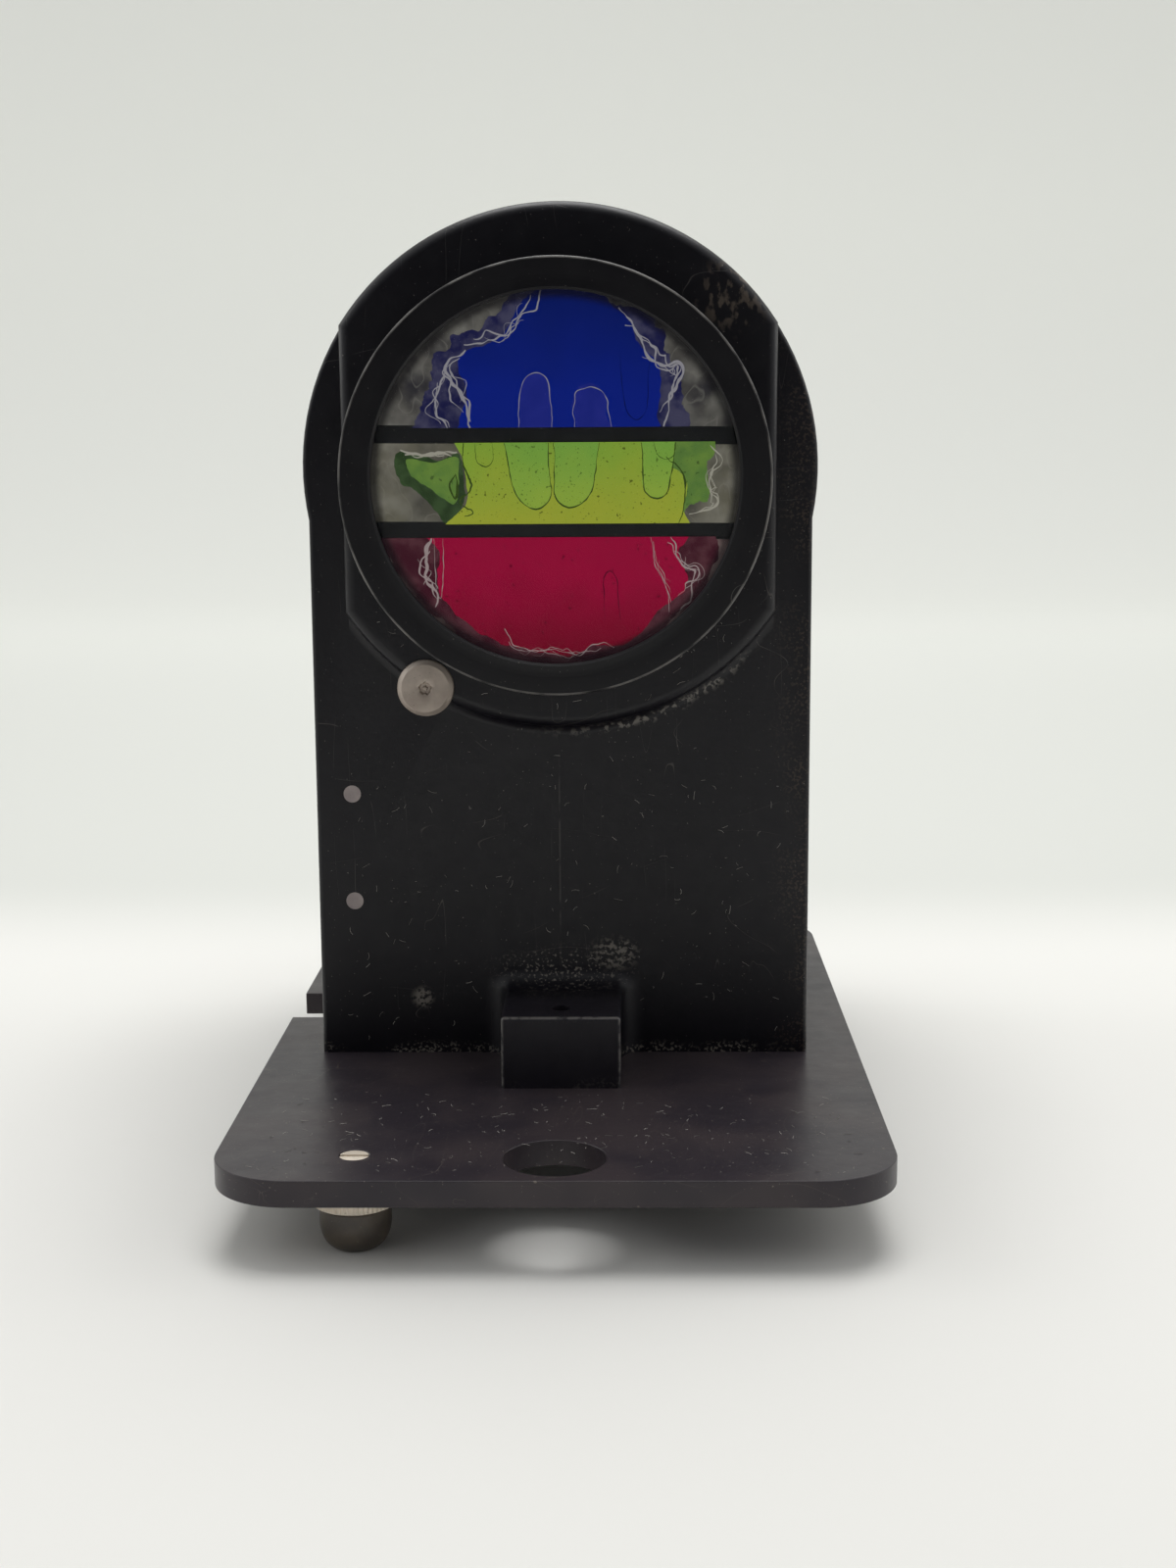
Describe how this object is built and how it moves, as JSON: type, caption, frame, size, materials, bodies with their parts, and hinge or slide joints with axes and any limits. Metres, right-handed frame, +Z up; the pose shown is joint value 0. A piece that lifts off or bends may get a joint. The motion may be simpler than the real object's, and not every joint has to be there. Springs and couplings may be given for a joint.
{
  "type": "railway signal lamp",
  "caption": "Signal lamp with an arch-topped moulded housing on a sheet base plate, a round lens barrel with colour filters, and a hinged rear cover.",
  "frame": {"origin": "on the floor under the centre of the base plate", "axes": "+Z up, -Y to the front where the lens is, +X to the right seen from the front"},
  "size_m": [0.1, 0.158, 0.1541],
  "materials": {
    "phenolic_sheet": "satin phenolic sheet, worn",
    "housing_moulding": "moulded phenolic, satin",
    "cover_moulding": "moulded phenolic, satin",
    "barrel_moulding": "turned phenolic, satin",
    "knob_moulding": "moulded phenolic, polished",
    "foot_moulding": "moulded, olive brown",
    "clear_glass": "clear",
    "opal_glass": "opal",
    "bulb_glass": "clear",
    "blue_film": "dyed gelatine film",
    "green_film": "dyed gelatine film",
    "red_film": "dyed gelatine film",
    "black_enamel": "blackened strip",
    "spring_steel": "blued spring steel",
    "baffle_sheet": "matt black paint",
    "brown_board": "phenolic board",
    "brass": "dull brass",
    "nickel": "nickel plate, dulled",
    "plated_steel": "plated steel, dulled",
    "hinge_steel": "plated steel, dulled",
    "aluminium_rivet": "filed flush",
    "red_wire": "wire covering",
    "green_wire": "wire covering",
    "blue_wire": "wire covering",
    "black_wire": "wire covering"
  },
  "bodies": {
    "frame": {"base_plate": "phenolic_sheet", "housing": "housing_moulding", "lens_barrel": "barrel_moulding", "front_glass": "clear_glass", "blue_filter": "blue_film", "upper_divider_bar": "black_enamel", "green_filter": "green_film", "lower_divider_bar": "black_enamel", "red_filter": "red_film", "opal_diffuser": "opal_glass", "filter_retaining_ring": "spring_steel", "light_baffle": "baffle_sheet", "lamp_board": "brown_board", "upper_lamp_holder": "brown_board", "upper_bulb_cap": "brass", "upper_bulb": "bulb_glass", "middle_lamp_holder": "brown_board", "middle_bulb_cap": "brass", "middle_bulb": "bulb_glass", "lower_lamp_holder": "brown_board", "lower_bulb_cap": "brass", "lower_bulb": "bulb_glass", "common_strip": "brass", "housing_screws": "plated_steel", "board_screws": "brass", "terminal_bracket": "plated_steel", "bracket_rivets": "aluminium_rivet", "terminal_block": "brown_board", "terminal_screws": "brass", "red_lamp_wire": "red_wire", "green_lamp_wire": "green_wire", "blue_lamp_wire": "blue_wire", "common_wire": "black_wire", "keeper_pin": "plated_steel", "keeper_pin_nut": "plated_steel", "hinge_housing_leaf": "hinge_steel", "hinge_pin": "plated_steel", "housing_leaf_screws": "plated_steel", "front_left_foot": "foot_moulding", "right_foot": "foot_moulding", "rear_left_foot": "foot_moulding", "foot_studs": "nickel"},
    "cover": {"rear_cover": "cover_moulding", "hinge_cover_leaf": "hinge_steel", "cover_leaf_screws": "plated_steel"},
    "latch": {"latch_knob": "knob_moulding", "latch_washer": "plated_steel", "latch_cam": "plated_steel"},
    "front_left_nut": {"front_left_knurled_nut": "nickel"},
    "right_nut": {"right_knurled_nut": "nickel"},
    "rear_left_nut": {"rear_left_knurled_nut": "nickel"}
  },
  "joints": [
    {"name": "cover_hinge", "type": "hinge", "parent": "frame", "child": "cover", "pos_m": [0.0436, 0.06105, 0.0617], "axis": [0, 0, -1], "range_deg": [0, 105]},
    {"name": "latch_turn", "type": "hinge", "parent": "cover", "child": "latch", "pos_m": [-0.026, 0.063, 0.0737], "axis": [0, -1, 0], "range_deg": [0, 90]},
    {"name": "front_left_nut_turn", "type": "hinge", "parent": "frame", "child": "front_left_nut", "pos_m": [-0.0294, -0.0682, 0.008], "axis": [0, 0, 1], "continuous": true},
    {"name": "right_nut_turn", "type": "hinge", "parent": "frame", "child": "right_nut", "pos_m": [0.0294, 0.005, 0.008], "axis": [0, 0, 1], "continuous": true},
    {"name": "rear_left_nut_turn", "type": "hinge", "parent": "frame", "child": "rear_left_nut", "pos_m": [-0.0294, 0.068, 0.008], "axis": [0, 0, 1], "continuous": true}
  ]
}
